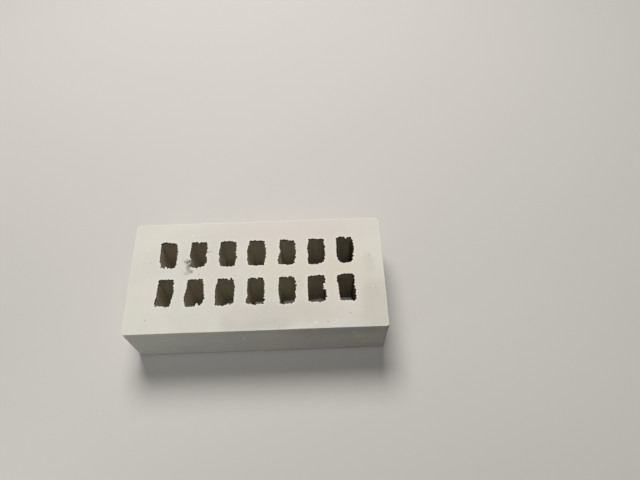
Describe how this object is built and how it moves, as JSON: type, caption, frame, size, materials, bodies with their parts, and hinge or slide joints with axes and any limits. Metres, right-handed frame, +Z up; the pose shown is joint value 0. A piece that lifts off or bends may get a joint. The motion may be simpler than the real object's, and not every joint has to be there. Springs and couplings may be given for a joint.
{
  "type": "perforated clay brick",
  "caption": "Extruded, wire-cut clay facing brick, perforated by ragged slots that run through it from bed face to bed face.",
  "frame": {"origin": "centre of the brick's footprint, on the floor that its lower bed face lies on", "axes": "+X along the length, +Y across the width towards the stretcher with the thinner shell, +Z up from the lower bed face"},
  "size_m": [0.21, 0.1, 0.05],
  "materials": {
    "fired_clay": "matt, cream-burning clay, smooth from the die and the cutting wire"
  },
  "bodies": {
    "root": {"brick": "fired_clay"}
  },
  "joints": []
}
